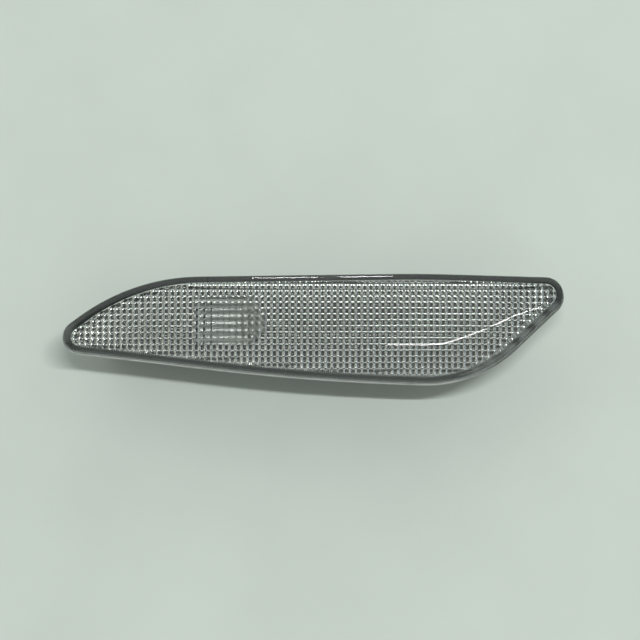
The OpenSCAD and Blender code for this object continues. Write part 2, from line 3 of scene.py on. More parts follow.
import bpy
import numpy as np
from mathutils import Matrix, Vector


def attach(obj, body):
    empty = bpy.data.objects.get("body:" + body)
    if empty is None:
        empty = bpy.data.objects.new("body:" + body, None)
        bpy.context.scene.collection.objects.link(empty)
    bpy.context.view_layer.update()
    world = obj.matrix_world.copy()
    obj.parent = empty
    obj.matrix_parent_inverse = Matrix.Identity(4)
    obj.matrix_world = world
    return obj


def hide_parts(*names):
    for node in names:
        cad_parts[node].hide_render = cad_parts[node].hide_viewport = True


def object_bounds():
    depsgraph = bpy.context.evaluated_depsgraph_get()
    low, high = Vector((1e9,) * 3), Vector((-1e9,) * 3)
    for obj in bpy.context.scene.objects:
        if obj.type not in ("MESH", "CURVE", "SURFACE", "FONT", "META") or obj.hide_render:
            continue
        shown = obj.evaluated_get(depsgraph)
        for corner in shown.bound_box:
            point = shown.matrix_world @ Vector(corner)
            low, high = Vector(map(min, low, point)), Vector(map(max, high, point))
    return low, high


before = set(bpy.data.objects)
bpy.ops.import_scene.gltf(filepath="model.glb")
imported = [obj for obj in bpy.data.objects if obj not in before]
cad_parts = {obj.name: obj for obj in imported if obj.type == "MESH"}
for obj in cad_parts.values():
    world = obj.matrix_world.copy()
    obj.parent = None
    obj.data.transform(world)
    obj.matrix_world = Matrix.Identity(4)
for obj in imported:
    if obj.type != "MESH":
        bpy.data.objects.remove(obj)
cad_box = [list(map(float, corner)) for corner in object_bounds()]

MM = 0.001

# Outline of the lens, in millimetres: corners before rounding, clockwise from the sharp left end
CORNERS = ((-71.5, -4.8), (-47.0, 13.5), (28.0, 14.5), (71.5, 13.2), (42.3, -14.5), (0.5, -13.3))
ROUNDING = (4.1, 53.0, 370.0, 4.7, 34.0, 600.0)
# Smallest rounding of a corner once the sides have moved in
LEAST_R = 0.4
# Width of the dark rim along each side, from the left end clockwise, as it is in the photograph
RIM = (2.3, 1.9, 1.9, 2.0, 1.8, 1.8)

# Section of the lens, in millimetres
LENS_FOOT_Z = 3.0
FOOT_OUT = 0.28
FOOT_H = 0.7
FOOT_ROUND = 0.12
SKIRT_H = 3.0
SHOULDER_R = 2.2
SHOULDER_SWEEP = math.radians(75)
CROWN_R = 49.1
LENS_WALL = 1.7
# Part of the crown's rise that the inner face follows
INNER_FOLLOW = 0.5
SHOULDER_Z = LENS_FOOT_Z + SKIRT_H + SHOULDER_R * math.sin(SHOULDER_SWEEP)

# Pillow field and fluted wall inside the lens, in millimetres
PILLOW_PITCH = 1.55
# Height of a pillow where the crown is full, and where the crown starts
PILLOW_H = 0.5
EDGE_PILLOW_H = 0.62
# Rise of the crown from which the pillows have their full height
FULL_RISE = 1.4
ROW_SHIFT = 0.4
FLUTE_PITCH = 0.54
FLUTE_DEPTH = 0.13
# Bevel between the wall and the pillows, and the height where it starts
BEVEL = 0.2
BEVEL_Z = 5.9
# Grid of pillows, which reaches past the lens on every side, and steps of its mesh to a pillow
COLUMNS = 86
ROWS = 20
PILLOW_STEPS = 8
# Flutes around the wall until make_lens counts them from its length, and points to a flute
FLUTES = 400
FLUTE_POINTS = 4
# Faces that meet at a larger angle keep a sharp edge
CREASE = math.radians(14)
# How far the cutting shapes reach past the lens: below its foot and above it, in millimetres
POCKET_BELOW = 2.0
POCKET_ABOVE = 9.0
CUT_LOW = -4.0
CUT_HEIGHT = 20.0
WALL_CUT_LIFT = 1.0
FIELD_LOW = 2.0
RAY_START = 50.0
WELD_DISTANCE = 1e-7

# Height above which the reflector is polished, and how fast the polish sets in, in millimetres
DECK_Z = 3.5
POLISH_EDGE = 0.02
# Light on the flange, in millimetres: width of the lit band along the slanted side, where it fades
# to the north, spacing of its lines, and where the south side and the tip turn light
SIDE_LIT = 5.0
SIDE_FADE_Y = (5.0, 8.0)
LINE_PITCH = 0.6
SOUTH_Y = (-3.0, -5.0)
TIP_X = (-61.0, -63.0)
# How strong the light is: between and on the lines, on the south side and at the tip
LINE_LIT = (0.0, 1.6)
SOUTH_LIT = 0.35
TIP_LIT = 0.45
# Where the painted light line on the weld seam sets in towards the south, and where it ends on the right, in
# millimetres
SEAM_LIGHT_Y = (-3.5, -5.5)
SEAM_LIGHT_X = (36.0, 48.0)

# Colours
LIT_COLOR = (0.32, 0.34, 0.33, 1)
SEAM_DARK = (0.11, 0.118, 0.112, 1)
# Painted light along the lower edge of the weld seam
SEAM_PAINTED_LIGHT = (0.42, 0.44, 0.42, 1)
POLISHED = (0.9, 0.91, 0.9, 1)
CLEAR_PLASTIC = (0.93, 0.95, 0.935, 1)
CLEAR_SHADOW = (0.86, 0.88, 0.87, 1)
DUST = (0.42, 0.42, 0.39, 1)
PAPER = (0.56, 0.618, 0.567, 1)

# Camera and the photograph's frame
PHOTO_SIDE = 640
LAMP_LEFT_PX = 63
LAMP_RIGHT_PX = 564
LAMP_MIDDLE_PX = 330.5
CAMERA_HEIGHT_DEG = 82
CAMERA_DISTANCE = 0.75
SENSOR = 0.036

# Studio tube, in metres: its height, and its degrees north of straight up
LAMP_HEIGHT = 1.3
TUBE_TILT = 3
# The tube's soft image for the lens: half its width, where its ends fade, and its strength,
# with widths as sines of angles
TUBE_HALF = 0.035
TUBE_END = (0.2, 0.24)
TUBE_GLOW = 9.5
# Tent of light: brightness of its sides as seen and as broken up by the lens, and of its dark top,
# which lies so many degrees north of straight up and fades from one angle to another
TENT_SEEN = 0.65
TENT_THROUGH = 0.56
TENT_TOP = 0.05
TOP_TILT = 8
TOP_FADE = (18, 32)
# Height above the horizon, as a sine, where the tube's image has its full strength
HORIZON_FADE = 0.3
# How much brighter the northern horizon is than the middle of the tent, and the southern darker
WINDOW = 0.6
# Tint of the light that the lens breaks up, from the west and from the east, and its reach as a sine
WARM = (0.98, 0.97, 0.86, 1)
COOL = (0.88, 0.97, 1.02, 1)
TINT_REACH = 0.5
# Lamps: place and size in metres, power in watts, tilt and turn in degrees, and the rays they show to
LAMPS = {
    "tube": ((0.18, LAMP_HEIGHT * math.sin(math.radians(TUBE_TILT)), LAMP_HEIGHT), (0.5, 0.02),
             9.95, 0, 0, "diffuse"),
    "glint_long": ((0.265, 0.023, LAMP_HEIGHT), (0.32, 0.012), 0.3, 0, 41, "glossy"),
    "glint_short": ((0.087, -0.084, LAMP_HEIGHT), (0.12, 0.014), 0.08, 0, 7, "glossy"),
    "side_pane": ((1.2, -1.2, 0.55), (1.6, 0.9), 5, 75, 225, "glossy"),
    "left_pane": ((-0.054, 2.0, 0.25), (0.064, 0.5), 1.7, 90, 0, "glossy"),
    "right_pane": ((0.024, 2.0, 0.25), (0.054, 0.5), 1.7, 90, 0, "glossy"),
}


def unit(v):
    return v / np.linalg.norm(v)


def moved_in(corners, shift):
    """Corners of a clockwise polygon once side i has moved in by shift[i]."""
    corners = np.array(corners, float)
    moved = []
    for i, corner in enumerate(corners):
        before = unit(corner - corners[i - 1])
        after = unit(corners[(i + 1) % len(corners)] - corner)
        turn = before[0] * after[1] - before[1] * after[0]
        moved.append(corner + (before * shift[i] - after * shift[i - 1]) / turn)
    return np.array(moved)


def rounded(corners, radii, steps):
    """A clockwise polygon with an arc of so many steps at each corner."""
    points = []
    for i, corner in enumerate(corners):
        back = unit(corners[i - 1] - corner)
        ahead = unit(corners[(i + 1) % len(corners)] - corner)
        half = math.acos(back @ ahead) / 2
        centre = corner + unit(back + ahead) * radii[i] / math.sin(half)
        start = corner + back * radii[i] / math.tan(half) - centre
        for turn in np.linspace(0, 2 * half - math.pi, steps + 1):
            c, s = math.cos(turn), math.sin(turn)
            points.append(centre + (c * start[0] - s * start[1], s * start[0] + c * start[1]))
    return np.array(points)


def outline(shift, steps=48):
    """The lamp's outline in millimetres, with each side moved in by its own distance."""
    shift = np.broadcast_to(shift, len(CORNERS))
    radii = [max(r - (shift[i] + shift[i - 1]) / 2, LEAST_R) for i, r in enumerate(ROUNDING)]
    return rounded(moved_in(CORNERS, shift), radii, steps)


def halves(points):
    """The upper and the lower half of a clockwise outline, each from left to right."""
    left, right = points[:, 0].argmin(), points[:, 0].argmax()
    upper = np.roll(points, -left, axis=0)[: (right - left) % len(points) + 1]
    lower = np.roll(points[::-1], left + 1, axis=0)[: (left - right) % len(points) + 1]
    return upper, lower


def mesh_object(name, vertices, faces):
    """A mesh in millimetres, made an object in metres."""
    mesh = bpy.data.meshes.new(name)
    mesh.from_pydata([tuple(float(x) * MM for x in v) for v in vertices], [], faces)
    mesh.validate()
    mesh.update()
    made = bpy.data.objects.new(name, mesh)
    bpy.context.collection.objects.link(made)
    return made


# Node helpers


def add(tree, kind, inputs=None, **settings):
    """One node, with its settings and its inputs' values or links."""
    made = tree.nodes.new(kind)
    for name, value in settings.items():
        setattr(made, name, value)
    for key, value in (inputs or {}).items():
        if isinstance(value, bpy.types.NodeSocket):
            tree.links.new(value, made.inputs[key])
        else:
            made.inputs[key].default_value = value
    return made


def maths(tree, operation, *values):
    kind = "ShaderNodeMath"
    return add(tree, kind, dict(enumerate(values)), operation=operation).outputs[0]


def dot(tree, a, b):
    return add(tree, "ShaderNodeVectorMath", {0: a, 1: b}, operation="DOT_PRODUCT").outputs["Value"]


def clamp_share(tree, value, low, high, start=0.0, end=1.0):
    """Maps low to high of a value onto start to end, each a number or a socket."""
    inputs = {"Value": value, "From Min": low, "From Max": high, "To Min": start, "To Max": end}
    return add(tree, "ShaderNodeMapRange", inputs).outputs[0]


def mixed(tree, share, a, b):
    """A colour between a and b."""
    made = add(tree, "ShaderNodeMix", data_type="RGBA")
    for index, value in ((0, share), (6, a), (7, b)):
        if isinstance(value, bpy.types.NodeSocket):
            tree.links.new(value, made.inputs[index])
        else:
            made.inputs[index].default_value = value
    return made.outputs[2]


def new_group(name, kind, inputs, outputs):
    """A node group with named sockets; inputs are (name, socket type, default)."""
    tree = bpy.data.node_groups.new(name, kind)
    for label, socket, default in inputs:
        made = tree.interface.new_socket(label, in_out="INPUT", socket_type=socket)
        if default is not None:
            made.default_value = default
    for label, socket in outputs:
        tree.interface.new_socket(label, in_out="OUTPUT", socket_type=socket)
    return tree, add(tree, "NodeGroupInput").outputs, add(tree, "NodeGroupOutput")


# The lens


def crown_edge():
    """The lens's outline where the crown starts, as two halves."""
    return halves(outline(SHOULDER_R * (1 - math.cos(SHOULDER_SWEEP))))


def crown(x, y, edge):
    """Height of the lens's outer face over the shoulder's top."""
    upper, lower = (np.interp(x, half[:, 0], half[:, 1]) for half in edge)
    return SHOULDER_Z + (upper - y) * (y - lower) / (2 * CROWN_R)


def lens_levels(steps=12):
    """Section of the lens's edge as (distance in from the outline, height)."""
    foot_top = LENS_FOOT_Z + FOOT_H
    skirt_top = LENS_FOOT_Z + SKIRT_H
    levels = [(-FOOT_OUT + FOOT_ROUND, LENS_FOOT_Z), (-FOOT_OUT, LENS_FOOT_Z + FOOT_ROUND),
              (-FOOT_OUT, foot_top - FOOT_ROUND), (-FOOT_OUT + FOOT_ROUND, foot_top), (0, foot_top)]
    for turn in np.linspace(0, SHOULDER_SWEEP, steps + 1):
        levels.append((SHOULDER_R * (1 - math.cos(turn)), skirt_top + SHOULDER_R * math.sin(turn)))
    return levels


def stacked(name, levels, top_face, stations=200, strips=28):
    """A solid of outlines stacked at (inset, height) levels, closed by a top face whose height is given."""
    share = (1 - np.cos(np.linspace(0, math.pi, stations + 1))) / 2
    vertices, faces, around = [], [], 2 * stations
    for inset, z in levels:
        upper, lower = halves(outline(inset))
        xs = upper[0, 0] + (upper[-1, 0] - upper[0, 0]) * share
        vertices += [(x, y, z) for x, y in zip(xs, np.interp(xs, *upper.T))]
        vertices += [(x, y, z) for x, y in zip(xs, np.interp(xs, *lower.T))][-2:0:-1]
    top = len(levels) - 1
    loop = np.array(vertices[top * around:])
    for k in range(1, stations):
        for j in range(1, strips):
            x, y = loop[k, 0], loop[-k, 1] + (loop[k, 1] - loop[-k, 1]) * j / strips
            vertices.append((x, y, top_face(x, y)))

    def at(level, k):
        return level * around + k % around

    def across(k, j):
        if j == 0 or k in (0, stations):
            return at(top, -k)
        return at(top, k) if j == strips else (top + 1) * around + (k - 1) * (strips - 1) + j - 1

    for k in range(stations):
        faces.append(list(dict.fromkeys((at(0, k), at(0, k + 1), at(0, -k - 1), at(0, -k)))))
    for level in range(top):
        for k in range(around):
            faces.append([at(level, k + 1), at(level, k), at(level + 1, k), at(level + 1, k + 1)])
    for k in range(stations):
        for j in range(strips):
            corners = (across(k, j), across(k + 1, j), across(k + 1, j + 1), across(k, j + 1))
            faces.append(list(dict.fromkeys(corners)))
    return mesh_object(name, vertices, faces)


def lens_block():
    """The lens as a solid: foot, skirt, rounded shoulder and crowned face."""
    edge = crown_edge()
    return stacked("lens_block", lens_levels(), lambda x, y: crown(x, y, edge))


def pocket_block():
    """The space inside the lens before its flutes and pillows, with a bevel between wall and pillows."""
    wide, narrow = np.subtract(RIM, 2 * FLUTE_DEPTH), np.add(RIM, BEVEL)
    low, high = LENS_FOOT_Z - POCKET_BELOW, LENS_FOOT_Z + POCKET_ABOVE
    foot = BEVEL_Z - 2 * FLUTE_DEPTH
    levels = [(wide, low), (wide, foot), (narrow, BEVEL_Z + BEVEL), (narrow, high)]
    return stacked("pocket_block", levels, lambda x, y: high, strips=4)


def edge_loop(name, points):
    """A closed loop of edges at height zero."""
    mesh = bpy.data.meshes.new(name)
    count = len(points)
    edges = [(i, (i + 1) % count) for i in range(count)]
    mesh.from_pydata([(x * MM, y * MM, 0.0) for x, y in points], edges, [])
    made = bpy.data.objects.new(name, mesh)
    bpy.context.collection.objects.link(made)
    return made


def closed_prism(tree, flat, height):
    """Raised sides and base over a flat sheet that faces up, and the field that picks the top."""
    raised = add(tree, "GeometryNodeExtrudeMesh", {
        "Mesh": flat, "Offset": (0, 0, height), "Individual": False})
    base = add(tree, "GeometryNodeFlipFaces", {"Mesh": flat})
    return raised.outputs["Mesh"], base.outputs["Mesh"], raised.outputs["Top"]


def joined(tree, *parts):
    """Several sheets as one closed solid."""
    gathered = add(tree, "GeometryNodeJoinGeometry")
    for part in parts:
        tree.links.new(part, gathered.inputs[0])
    welded = add(tree, "GeometryNodeMergeByDistance", {
        "Geometry": gathered.outputs[0], "Distance": WELD_DISTANCE})
    return welded.outputs[0]


def pillow_lens_tree():
    """Cuts the space inside the lens: pillows that follow the outer face, within a fluted wall."""
    tree, given, result = new_group("pillow_lens", "GeometryNodeTree", (
        ("Geometry", "NodeSocketGeometry", None),
        ("Wall Outline", "NodeSocketObject", None),
        ("Pocket", "NodeSocketObject", None),
        ("Pitch", "NodeSocketFloat", PILLOW_PITCH * MM),
        ("Pillow Height", "NodeSocketFloat", PILLOW_H * MM),
        ("Edge Height", "NodeSocketFloat", EDGE_PILLOW_H * MM),
        ("Full Rise", "NodeSocketFloat", FULL_RISE * MM),
        ("Row Shift", "NodeSocketFloat", ROW_SHIFT * MM),
        ("Lens Wall", "NodeSocketFloat", LENS_WALL * MM),
        ("Shoulder Height", "NodeSocketFloat", SHOULDER_Z * MM),
        ("Follow", "NodeSocketFloat", INNER_FOLLOW),
        ("Columns", "NodeSocketInt", COLUMNS),
        ("Rows", "NodeSocketInt", ROWS),
        ("Steps", "NodeSocketInt", PILLOW_STEPS),
        ("Flutes", "NodeSocketInt", FLUTES),
        ("Flute Depth", "NodeSocketFloat", FLUTE_DEPTH * MM),
        ("Crease Angle", "NodeSocketFloat", CREASE),
        ("Ledge Height", "NodeSocketFloat", (LENS_FOOT_Z + FOOT_H) * MM),
        ("Ledge Drop", "NodeSocketFloat", 0.75 * FOOT_ROUND * MM),
        ("Material", "NodeSocketMaterial", None),
        ("Ledge Material", "NodeSocketMaterial", None),
    ), (("Geometry", "NodeSocketGeometry"),))
    below, height = CUT_LOW * MM, CUT_HEIGHT * MM

    # A grid with so many steps to a pillow, its lines on the valleys between the pillows
    def grid_side(count):
        cells = maths(tree, "MULTIPLY", given[count], given["Steps"])
        return maths(tree, "MULTIPLY", given[count], given["Pitch"]), maths(tree, "ADD", cells, 1.0)

    size_x, points_x = grid_side("Columns")
    size_y, points_y = grid_side("Rows")
    grid = add(tree, "GeometryNodeMeshGrid", {
        "Size X": size_x, "Size Y": size_y, "Vertices X": points_x, "Vertices Y": points_y})
    shift = add(tree, "ShaderNodeCombineXYZ", {"Y": given["Row Shift"], "Z": below})
    sheet = add(tree, "GeometryNodeSetPosition", {
        "Geometry": grid.outputs["Mesh"], "Offset": shift.outputs[0]})
    sides, base, is_top = closed_prism(tree, sheet.outputs[0], height)

    # Height of the outer face above each point, less the wall and the pillow
    place = add(tree, "ShaderNodeSeparateXYZ", {0: add(tree, "GeometryNodeInputPosition").outputs[0]}).outputs
    above = add(tree, "ShaderNodeCombineXYZ", {"X": place["X"], "Y": place["Y"], "Z": RAY_START * MM})
    hit = add(tree, "GeometryNodeRaycast", {
        "Target Geometry": given["Geometry"], "Source Position": above.outputs[0],
        "Ray Direction": (0, 0, -1), "Ray Length": 1.0})
    face = add(tree, "ShaderNodeSeparateXYZ", {0: hit.outputs["Hit Position"]}).outputs["Z"]

    def dip(along, start):
        """How far a pillow has fallen away from its middle, from 0 to 0.5 at its edge."""
        cell = maths(tree, "DIVIDE", maths(tree, "SUBTRACT", along, start), given["Pitch"])
        off_middle = maths(tree, "SUBTRACT", maths(tree, "FRACT", cell), 0.5)
        return maths(tree, "MULTIPLY", maths(tree, "MULTIPLY", off_middle, off_middle), 2.0)

    fallen = maths(tree, "ADD", dip(place["X"], 0.0), dip(place["Y"], given["Row Shift"]))
    rise = maths(tree, "SUBTRACT", face, given["Shoulder Height"])
    tall = clamp_share(tree, rise, 0.0, given["Full Rise"], given["Edge Height"], given["Pillow Height"])
    pillow = maths(tree, "MULTIPLY", maths(tree, "SUBTRACT", 1.0, fallen), tall)
    followed = maths(tree, "MULTIPLY", rise, given["Follow"])
    outer = maths(tree, "ADD", followed, given["Shoulder Height"])
    inner = maths(tree, "SUBTRACT", outer, given["Lens Wall"])
    level = maths(tree, "MAXIMUM", maths(tree, "SUBTRACT", inner, pillow), FIELD_LOW * MM)
    target = add(tree, "ShaderNodeCombineXYZ", {"X": place["X"], "Y": place["Y"], "Z": level})
    field = add(tree, "GeometryNodeSetPosition", {
        "Geometry": sides, "Selection": is_top, "Position": target.outputs[0]}).outputs[0]
    pillows = joined(tree, field, base)

    # The wall around the field, with fine upright flutes
    loop = add(tree, "GeometryNodeObjectInfo", {"Object": given["Wall Outline"]}, transform_space="ORIGINAL")
    curve = add(tree, "GeometryNodeMeshToCurve", {"Mesh": loop.outputs["Geometry"]})
    count = maths(tree, "MULTIPLY", given["Flutes"], FLUTE_POINTS)
    even = add(tree, "GeometryNodeResampleCurve", {"Curve": curve.outputs[0], "Count": count})
    index = add(tree, "GeometryNodeInputIndex").outputs[0]
    wave = maths(tree, "SINE", maths(tree, "MULTIPLY", index, 2 * math.pi / FLUTE_POINTS))
    outward = add(tree, "GeometryNodeInputNormal").outputs[0]
    swing = add(tree, "ShaderNodeVectorMath", {
        0: outward, "Scale": maths(tree, "MULTIPLY", wave, given["Flute Depth"])}, operation="SCALE")
    lower = add(tree, "ShaderNodeVectorMath", {
        0: swing.outputs[0], 1: (0, 0, below + WALL_CUT_LIFT * MM)}, operation="ADD")
    fluted = add(tree, "GeometryNodeSetPosition", {"Geometry": even.outputs[0], "Offset": lower.outputs[0]})
    filled = add(tree, "GeometryNodeFillCurve", {"Curve": fluted.outputs[0]}, mode="TRIANGLES")
    wall_sides, wall_base, _ = closed_prism(tree, filled.outputs[0], height)
    wall = joined(tree, wall_sides, wall_base)

    # Cut the space out, then finish the surface
    space = add(tree, "GeometryNodeMeshBoolean", operation="INTERSECT", solver="MANIFOLD")
    pocket = add(tree, "GeometryNodeObjectInfo", {"Object": given["Pocket"]}, transform_space="ORIGINAL")
    for solid in (pillows, wall, pocket.outputs["Geometry"]):
        tree.links.new(solid, space.inputs["Mesh 2"])
    lens = add(tree, "GeometryNodeMeshBoolean", operation="DIFFERENCE", solver="MANIFOLD")
    tree.links.new(given["Geometry"], lens.inputs["Mesh 1"])
    tree.links.new(space.outputs["Mesh"], lens.inputs["Mesh 2"])
    smooth = add(tree, "GeometryNodeSetShadeSmooth", {"Geometry": lens.outputs["Mesh"], "Shade Smooth": True})
    angle = add(tree, "GeometryNodeInputMeshEdgeAngle").outputs["Unsigned Angle"]
    creased = add(tree, "GeometryNodeSetShadeSmooth", {
        "Geometry": smooth.outputs[0], "Selection": maths(tree, "GREATER_THAN", angle, given["Crease Angle"]),
        "Shade Smooth": False}, domain="EDGE")
    realized = add(tree, "GeometryNodeRealizeInstances", {0: creased.outputs[0]})
    dressed = add(tree, "GeometryNodeSetMaterial", {
        "Geometry": realized.outputs[0], "Material": given["Material"]})

    # The ledge of the foot has a material of its own
    from_ledge = maths(tree, "ABSOLUTE", maths(tree, "SUBTRACT", place["Z"], given["Ledge Height"]))
    up = add(tree, "ShaderNodeSeparateXYZ", {0: add(tree, "GeometryNodeInputNormal").outputs[0]}).outputs["Z"]
    on_ledge = maths(tree, "MULTIPLY", maths(tree, "LESS_THAN", from_ledge, given["Ledge Drop"]),
                     maths(tree, "GREATER_THAN", up, 0.5))
    edged = add(tree, "GeometryNodeSetMaterial", {
        "Geometry": dressed.outputs[0], "Selection": on_ledge, "Material": given["Ledge Material"]})
    tree.links.new(edged.outputs[0], result.inputs[0])
    return tree


def run_tree(source, tree, values, name):
    """Runs a geometry tree on an object and keeps the result as a plain mesh under a new name."""
    modifier = source.modifiers.new(name, "NODES")
    modifier.node_group = tree
    for item in tree.interface.items_tree:
        if item.in_out == "INPUT" and item.name in values:
            modifier[item.identifier] = values[item.name]
    shown = source.evaluated_get(bpy.context.evaluated_depsgraph_get())
    made = bpy.data.objects.new(name, bpy.data.meshes.new_from_object(shown))
    source.modifiers.remove(modifier)
    bpy.context.collection.objects.link(made)
    return made


def make_lens(material, ledge_material):
    """Makes the finished lens, which stands for the plainer one in the frame."""
    block, pocket = lens_block(), pocket_block()
    points = outline(RIM)
    around = np.linalg.norm(points - np.roll(points, 1, axis=0), axis=1).sum()
    loop = edge_loop("lens_wall_outline", points)
    lens = run_tree(block, pillow_lens_tree(), {
        "Wall Outline": loop, "Pocket": pocket, "Flutes": round(around / FLUTE_PITCH),
        "Material": material, "Ledge Material": ledge_material}, "pillow_lens")
    for helper in (block, pocket, loop):
        bpy.data.objects.remove(helper)
    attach(lens, "root")
    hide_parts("lens")


# Materials


def new_material(name, **values):
    """A material with its Principled shader's plain values set."""
    material = bpy.data.materials.new(name)
    material.use_nodes = True
    tree = material.node_tree
    shader = next(n for n in tree.nodes if n.type == "BSDF_PRINCIPLED")
    for key, value in values.items():
        shader.inputs[key.replace("_", " ")].default_value = value
    return material, tree, shader


def noise(tree, place, scale, detail=4.0):
    return add(tree, "ShaderNodeTexNoise", {"Vector": place, "Scale": scale, "Detail": detail}).outputs[0]


def streaked(tree, streak):
    """The object's own coordinates, drawn out along X so that noise on them turns into streaks."""
    place = add(tree, "ShaderNodeTexCoord").outputs["Object"]
    squeeze = add(tree, "ShaderNodeCombineXYZ", {"X": maths(tree, "DIVIDE", 1.0, streak), "Y": 1.0, "Z": 1.0})
    drawn = add(tree, "ShaderNodeVectorMath", {0: place, 1: squeeze.outputs[0]}, operation="MULTIPLY")
    return drawn.outputs[0]


def cloudy_color():
    """A colour that drifts a little lighter and darker, as moulded plastic does along its flow."""
    tree, given, result = new_group("cloudy_color", "ShaderNodeTree", (
        ("Color", "NodeSocketColor", (0.5, 0.5, 0.5, 1)), ("Spread", "NodeSocketFloat", 0.15),
        ("Scale", "NodeSocketFloat", 120.0), ("Streak", "NodeSocketFloat", 1.0)),
        (("Color", "NodeSocketColor"),))
    cloud = noise(tree, streaked(tree, given["Streak"]), given["Scale"], 6.0)
    reach = maths(tree, "MULTIPLY", given["Spread"], 4.0)
    swing = maths(tree, "MULTIPLY", maths(tree, "SUBTRACT", cloud, 0.5), reach)
    shade = add(tree, "ShaderNodeVectorMath", {0: given["Color"], "Scale": maths(tree, "ADD", swing, 1.0)},
                operation="SCALE")
    tree.links.new(shade.outputs[0], result.inputs[0])
    return tree


def uneven_gloss():
    """A roughness with duller and shinier patches."""
    tree, given, result = new_group("uneven_gloss", "ShaderNodeTree", (
        ("Roughness", "NodeSocketFloat", 0.4), ("Spread", "NodeSocketFloat", 0.2),
        ("Scale", "NodeSocketFloat", 250.0), ("Streak", "NodeSocketFloat", 1.0)),
        (("Roughness", "NodeSocketFloat"),))
    cloud = noise(tree, streaked(tree, given["Streak"]), given["Scale"], 5.0)
    share = clamp_share(tree, cloud, 0.35, 0.65, -1.0, 1.0)
    factor = maths(tree, "ADD", maths(tree, "MULTIPLY", share, given["Spread"]), 1.0)
    tree.links.new(maths(tree, "MULTIPLY", given["Roughness"], factor), result.inputs[0])
    return tree


def fine_grain():
    """Bumps of a moulded, rolled or foamed skin; pores are round pits, from none at 0 to deep at 1."""
    tree, given, result = new_group("fine_grain", "ShaderNodeTree", (
        ("Scale", "NodeSocketFloat", 2500.0), ("Depth", "NodeSocketFloat", 0.00002),
        ("Streak", "NodeSocketFloat", 1.0), ("Pores", "NodeSocketFloat", 0.0)),
        (("Normal", "NodeSocketVector"),))
    place = streaked(tree, given["Streak"])
    rough = noise(tree, place, given["Scale"], 3.0)
    pore_scale = maths(tree, "MULTIPLY", given["Scale"], 0.6)
    cell = add(tree, "ShaderNodeTexVoronoi", {"Vector": place, "Scale": pore_scale})
    pit = clamp_share(tree, cell.outputs["Distance"], 0.1, 0.5, -1.0, 0.0)
    height = maths(tree, "ADD", rough, maths(tree, "MULTIPLY", pit, given["Pores"]))
    bump = add(tree, "ShaderNodeBump", {"Height": height, "Strength": 1.0, "Distance": given["Depth"]})
    tree.links.new(bump.outputs[0], result.inputs[0])
    return tree


def settled_dust():
    """Thin dust on faces that look up: a paler, rougher bloom with specks in it."""
    tree, given, result = new_group("settled_dust", "ShaderNodeTree", (
        ("Color", "NodeSocketColor", (0.5, 0.5, 0.5, 1)), ("Roughness", "NodeSocketFloat", 0.4),
        ("Amount", "NodeSocketFloat", 0.1), ("Scale", "NodeSocketFloat", 1800.0)),
        (("Color", "NodeSocketColor"), ("Roughness", "NodeSocketFloat")))
    facing = add(tree, "ShaderNodeNewGeometry").outputs["Normal"]
    up = add(tree, "ShaderNodeSeparateXYZ", {0: facing}).outputs["Z"]
    lying = clamp_share(tree, up, 0.2, 0.9)
    place = streaked(tree, 1.0)
    film = clamp_share(tree, noise(tree, place, 90.0, 3.0), 0.3, 0.75)
    speck = clamp_share(tree, noise(tree, place, given["Scale"], 1.0), 0.66, 0.74)
    share = maths(tree, "MULTIPLY", maths(tree, "ADD", film, speck), given["Amount"])
    share = maths(tree, "MINIMUM", maths(tree, "MULTIPLY", share, lying), 1.0)
    tree.links.new(mixed(tree, share, given["Color"], DUST), result.inputs["Color"])
    rough = maths(tree, "ADD", given["Roughness"], maths(tree, "MULTIPLY", share, 0.5))
    tree.links.new(rough, result.inputs["Roughness"])
    return tree


EFFECTS = {make.__name__: make() for make in (cloudy_color, uneven_gloss, fine_grain, settled_dust)}


def effect(tree, name, **inputs):
    """One of the shared effects as a node; its outputs."""
    made = tree.nodes.new("ShaderNodeGroup")
    made.node_tree = EFFECTS[name]
    for key, value in inputs.items():
        if isinstance(value, bpy.types.NodeSocket):
            tree.links.new(value, made.inputs[key])
        else:
            made.inputs[key].default_value = value
    return made.outputs


def clear_plastic():
    """Clear moulded plastic: a faint haze in patches, and lamps shine through it."""
    material, tree, shader = new_material(
        "clear_moulded_plastic", Base_Color=CLEAR_PLASTIC, IOR=1.49, Transmission_Weight=1.0)
    gloss = effect(tree, "uneven_gloss", Roughness=0.022, Spread=0.3, Scale=160.0)
    tree.links.new(gloss[0], shader.inputs["Roughness"])
    shadow = add(tree, "ShaderNodeLightPath").outputs["Is Shadow Ray"]
    passing = add(tree, "ShaderNodeBsdfTransparent", {"Color": CLEAR_SHADOW})
    both = add(tree, "ShaderNodeMixShader", {0: shadow, 1: shader.outputs[0], 2: passing.outputs[0]})
    output = next(n for n in tree.nodes if n.type == "OUTPUT_MATERIAL")
    tree.links.new(both.outputs[0], output.inputs["Surface"])
    return material


def weld_seam():
    """The seam where the lens's foot is welded on: dark, with a painted light line along the lower edge."""
    material, tree, shader = new_material("weld_seam_painted_light")
    place = add(tree, "ShaderNodeSeparateXYZ", {0: add(tree, "ShaderNodeTexCoord").outputs["Object"]}).outputs
    # Painted light: the seam turns pale along its south edge, as far as its right end
    share = maths(tree, "MULTIPLY", clamp_share(tree, place["Y"], SEAM_LIGHT_Y[0] * MM, SEAM_LIGHT_Y[1] * MM),
                  clamp_share(tree, place["X"], SEAM_LIGHT_X[0] * MM, SEAM_LIGHT_X[1] * MM, 1, 0))
    seam_light = effect(tree, "cloudy_color", Color=SEAM_PAINTED_LIGHT, Spread=0.2, Scale=300.0)[0]
    tree.links.new(mixed(tree, share, SEAM_DARK, seam_light), shader.inputs["Base Color"])
    gloss = effect(tree, "uneven_gloss", Roughness=0.4, Spread=0.3)[0]
    tree.links.new(gloss, shader.inputs["Roughness"])
    return material


